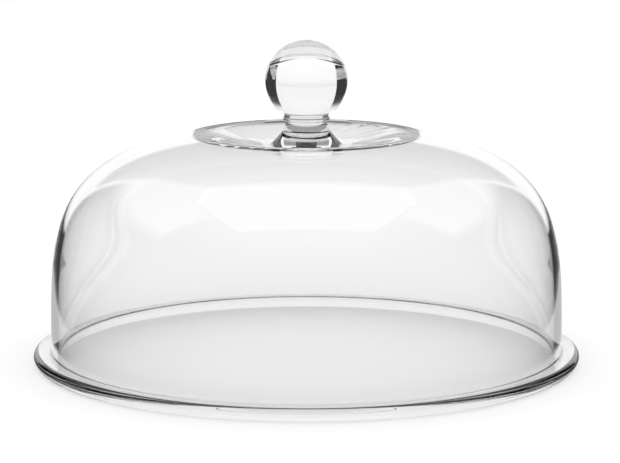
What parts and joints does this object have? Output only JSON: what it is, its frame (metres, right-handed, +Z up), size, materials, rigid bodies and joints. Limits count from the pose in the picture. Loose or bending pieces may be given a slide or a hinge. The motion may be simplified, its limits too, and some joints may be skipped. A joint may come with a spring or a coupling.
{
  "type": "cake stand dome",
  "caption": "Clear glass bell-shaped cake dome with a flat out-turned rim, a dished crown and a solid ball knob on a flared foot.",
  "frame": {"origin": "middle of the circle that the rim rests on, at the height of the plate or table under it", "axes": "+Z up along the dome's axis through the knob, +X and +Y any two level directions, because the dome is round"},
  "size_m": [0.305, 0.305, 0.1789],
  "materials": {
    "bell_glass": "clear, fire polished",
    "knob_glass": "clear, fire polished"
  },
  "bodies": {
    "root": {"dome_shell": "bell_glass", "knob_foot": "knob_glass", "ball_knob": "knob_glass"}
  },
  "joints": []
}
